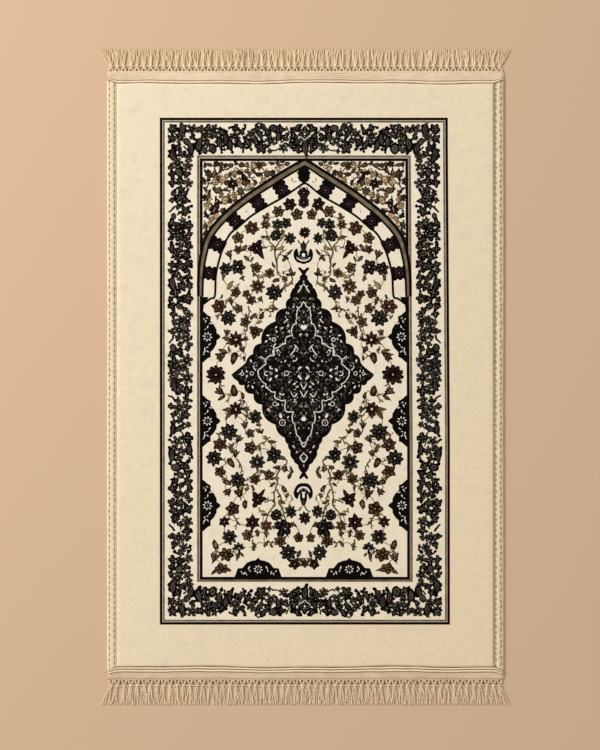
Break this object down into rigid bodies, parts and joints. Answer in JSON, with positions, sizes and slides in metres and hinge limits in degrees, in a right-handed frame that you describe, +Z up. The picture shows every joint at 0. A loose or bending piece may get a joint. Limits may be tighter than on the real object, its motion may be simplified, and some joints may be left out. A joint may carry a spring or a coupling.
{
  "type": "prayer rug",
  "caption": "Flat pile prayer rug with a pointed arch design, bound long sides, ribbed heading tapes and a knotted tassel fringe at both ends.",
  "frame": {"origin": "middle of the rug's box, at the floor", "axes": "+Y along the rug's length, towards the point of the arch; +X across its width; +Z up from the floor"},
  "size_m": [0.7262, 1.1586, 0.007],
  "materials": {
    "pile": "dense cut pile, cream with black, olive brown and burgundy figures",
    "binding": "overcast cream tape",
    "heading": "ribbed cream tape",
    "fringe": "twisted cream yarn"
  },
  "bodies": {
    "root": {"plush_panel": "pile", "side_binding_left": "binding", "side_binding_right": "binding", "heading_tape_top": "heading", "heading_tape_bottom": "heading", "knotted_fringe_top": "fringe", "knotted_fringe_bottom": "fringe"}
  },
  "joints": []
}
